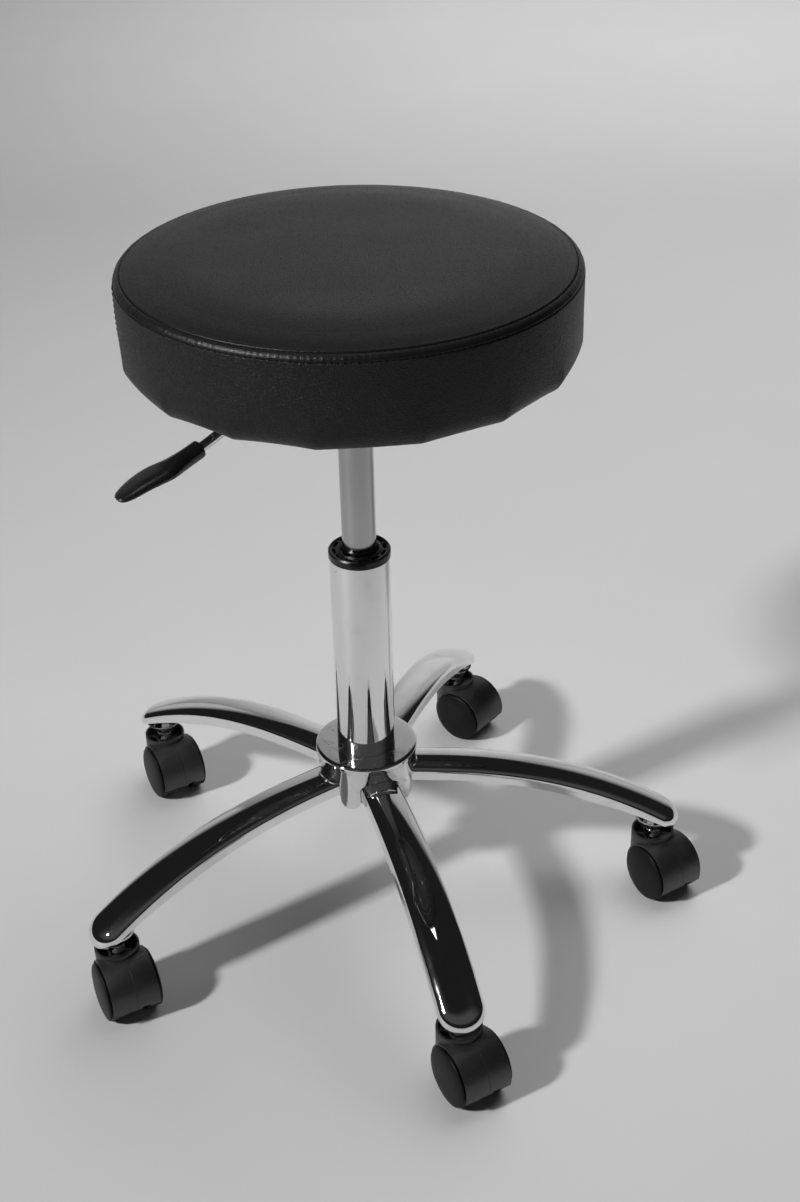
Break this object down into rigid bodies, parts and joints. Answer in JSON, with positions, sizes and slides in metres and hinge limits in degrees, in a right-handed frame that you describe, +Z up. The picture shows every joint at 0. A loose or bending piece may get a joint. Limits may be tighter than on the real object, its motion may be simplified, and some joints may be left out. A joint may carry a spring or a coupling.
{
  "type": "adjustable swivel stool",
  "caption": "Round padded seat on a chrome gas-lift column with a release lever, on a chrome star base with twin-wheel casters.",
  "frame": {"origin": "on the floor under the column axis", "axes": "+Z up along the column; +X along the first arm; the other arms follow every 72 degrees"},
  "size_m": [0.526, 0.5575, 0.6],
  "materials": {
    "chrome": "polished plate",
    "satin_steel": "satin, fine drawn lines along the cylinder",
    "bare_steel": "zinc plated",
    "black_paint": "black powder coat",
    "black_plastic": "moulded",
    "pale_plastic": "moulded",
    "caster_plastic": "fine spark texture",
    "wheel_plastic": "smooth matte",
    "grip_plastic": "smooth moulded",
    "vinyl": "grained upholstery vinyl",
    "foam": "open-cell foam",
    "plywood": "bare plywood",
    "dust_cloth": "non-woven cloth"
  },
  "bodies": {
    "base": {"arm_1": "chrome", "arm_2": "chrome", "arm_3": "chrome", "arm_4": "chrome", "arm_5": "chrome", "hub": "chrome", "hub_socket": "bare_steel", "stem_sockets": "chrome", "column_tube": "chrome", "tube_cap": "black_plastic", "guide_bush": "black_plastic", "bearing_lower_race": "bare_steel", "bearing_balls": "bare_steel"},
    "spindle": {"bearing_upper_race": "bare_steel", "piston_rod": "bare_steel", "rod_clip": "bare_steel", "piston": "pale_plastic"},
    "seat": {"gas_cylinder": "satin_steel", "cone_socket": "black_paint", "lever_channel": "black_paint", "lever_pivot_pin": "bare_steel", "seat_plate": "black_paint", "plate_screws": "bare_steel", "tee_nuts": "bare_steel", "seat_board": "plywood", "seat_foam": "foam", "cover_top": "vinyl", "cover_side": "vinyl", "dust_cloth": "dust_cloth", "cover_staples": "bare_steel"},
    "lever": {"lever_rod": "chrome", "lever_grip": "grip_plastic"},
    "valve": {"valve_pin": "bare_steel"},
    "caster_1": {"caster_1_hood": "caster_plastic", "caster_1_stem": "bare_steel", "caster_1_axle": "bare_steel"},
    "wheel_1a": {"caster_1_wheel_a": "wheel_plastic"},
    "wheel_1b": {"caster_1_wheel_b": "wheel_plastic"},
    "caster_2": {"caster_2_hood": "caster_plastic", "caster_2_stem": "bare_steel", "caster_2_axle": "bare_steel"},
    "wheel_2a": {"caster_2_wheel_a": "wheel_plastic"},
    "wheel_2b": {"caster_2_wheel_b": "wheel_plastic"},
    "caster_3": {"caster_3_hood": "caster_plastic", "caster_3_stem": "bare_steel", "caster_3_axle": "bare_steel"},
    "wheel_3a": {"caster_3_wheel_a": "wheel_plastic"},
    "wheel_3b": {"caster_3_wheel_b": "wheel_plastic"},
    "caster_4": {"caster_4_hood": "caster_plastic", "caster_4_stem": "bare_steel", "caster_4_axle": "bare_steel"},
    "wheel_4a": {"caster_4_wheel_a": "wheel_plastic"},
    "wheel_4b": {"caster_4_wheel_b": "wheel_plastic"},
    "caster_5": {"caster_5_hood": "caster_plastic", "caster_5_stem": "bare_steel", "caster_5_axle": "bare_steel"},
    "wheel_5a": {"caster_5_wheel_a": "wheel_plastic"},
    "wheel_5b": {"caster_5_wheel_b": "wheel_plastic"}
  },
  "joints": [
    {"name": "seat_swivel", "type": "hinge", "parent": "base", "child": "spindle", "pos_m": [0, 0, 0.3], "axis": [0, 0, 1], "continuous": true},
    {"name": "seat_height", "type": "slide", "parent": "spindle", "child": "seat", "axis": [0, 0, 1], "range_m": [-0.12, 0.015]},
    {"name": "lever_pull", "type": "hinge", "parent": "seat", "child": "lever", "pos_m": [-0.02038, -0.0192, 0.503], "axis": [-0.6858, 0.7278, 0], "range_deg": [0, 5], "stiffness_Nm_per_rad": 2, "springref_deg": -5.73},
    {"name": "valve_press", "type": "slide", "parent": "seat", "child": "valve", "axis": [0, 0, 1], "range_m": [-0.0026, 0]},
    {"name": "caster_1_swivel", "type": "hinge", "parent": "base", "child": "caster_1", "pos_m": [0.254, 0, 0.06], "axis": [0, 0, 1], "continuous": true},
    {"name": "wheel_1a_roll", "type": "hinge", "parent": "caster_1", "child": "wheel_1a", "pos_m": [0.26362, -0.0151, 0.025], "axis": [0.8434, 0.5373, 0], "continuous": true},
    {"name": "wheel_1b_roll", "type": "hinge", "parent": "caster_1", "child": "wheel_1b", "pos_m": [0.26362, -0.0151, 0.025], "axis": [0.8434, 0.5373, 0], "continuous": true},
    {"name": "caster_2_swivel", "type": "hinge", "parent": "base", "child": "caster_2", "pos_m": [0.07849, 0.24157, 0.06], "axis": [0, 0, 1], "continuous": true},
    {"name": "wheel_2a_roll", "type": "hinge", "parent": "caster_2", "child": "wheel_2a", "pos_m": [0.09263, 0.2306, 0.025], "axis": [0.6129, 0.7902, 0], "continuous": true},
    {"name": "wheel_2b_roll", "type": "hinge", "parent": "caster_2", "child": "wheel_2b", "pos_m": [0.09263, 0.2306, 0.025], "axis": [0.6129, 0.7902, 0], "continuous": true},
    {"name": "caster_3_swivel", "type": "hinge", "parent": "base", "child": "caster_3", "pos_m": [-0.20549, 0.1493, 0.06], "axis": [0, 0, 1], "continuous": true},
    {"name": "wheel_3a_roll", "type": "hinge", "parent": "caster_3", "child": "wheel_3a", "pos_m": [-0.19662, 0.13375, 0.025], "axis": [0.8686, 0.4955, 0], "continuous": true},
    {"name": "wheel_3b_roll", "type": "hinge", "parent": "caster_3", "child": "wheel_3b", "pos_m": [-0.19662, 0.13375, 0.025], "axis": [0.8686, 0.4955, 0], "continuous": true},
    {"name": "caster_4_swivel", "type": "hinge", "parent": "base", "child": "caster_4", "pos_m": [-0.20549, -0.1493, 0.06], "axis": [0, 0, 1], "continuous": true},
    {"name": "wheel_4a_roll", "type": "hinge", "parent": "caster_4", "child": "wheel_4a", "pos_m": [-0.19731, -0.16522, 0.025], "axis": [0.8894, 0.4571, 0], "continuous": true},
    {"name": "wheel_4b_roll", "type": "hinge", "parent": "caster_4", "child": "wheel_4b", "pos_m": [-0.19731, -0.16522, 0.025], "axis": [0.8894, 0.4571, 0], "continuous": true},
    {"name": "caster_5_swivel", "type": "hinge", "parent": "base", "child": "caster_5", "pos_m": [0.07849, -0.24157, 0.06], "axis": [0, 0, 1], "continuous": true},
    {"name": "wheel_5a_roll", "type": "hinge", "parent": "caster_5", "child": "wheel_5a", "pos_m": [0.08774, -0.2569, 0.025], "axis": [0.8563, 0.5165, 0], "continuous": true},
    {"name": "wheel_5b_roll", "type": "hinge", "parent": "caster_5", "child": "wheel_5b", "pos_m": [0.08774, -0.2569, 0.025], "axis": [0.8563, 0.5165, 0], "continuous": true}
  ],
  "couplings": [
    {"joint": "valve_press", "follows": "lever_pull", "m_per_rad": -0.028}
  ]
}
